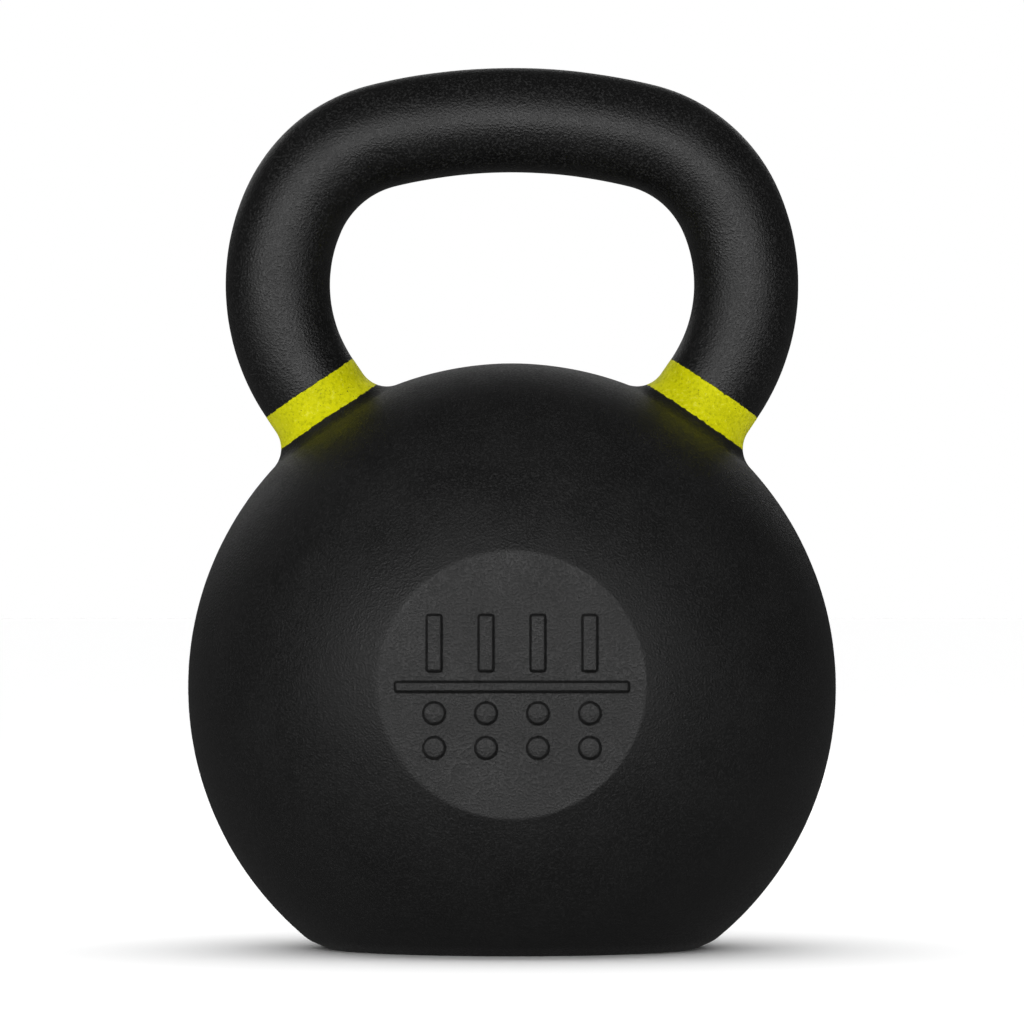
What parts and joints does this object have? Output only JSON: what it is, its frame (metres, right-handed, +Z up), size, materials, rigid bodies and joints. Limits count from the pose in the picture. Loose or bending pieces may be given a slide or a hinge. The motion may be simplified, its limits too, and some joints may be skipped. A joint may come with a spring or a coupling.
{
  "type": "kettlebell",
  "caption": "Round cast-iron kettlebell with a looped bar handle, a black powder coat, a painted band on each horn, a flat base and a flat front disc with a raised count mark.",
  "frame": {"origin": "centre of the flat base, on the floor, under the ball's centre", "axes": "+Z up, X across the handle from horn to horn, -Y out of the flat disc on the front"},
  "size_m": [0.232, 0.2241, 0.315],
  "materials": {
    "cast_iron": "matte",
    "powder_coat": "matte",
    "band_paint": "matte"
  },
  "bodies": {
    "root": {"iron_casting": "cast_iron", "ball_coat": "powder_coat", "handle_coat": "powder_coat", "left_band": "band_paint", "right_band": "band_paint"}
  },
  "joints": []
}
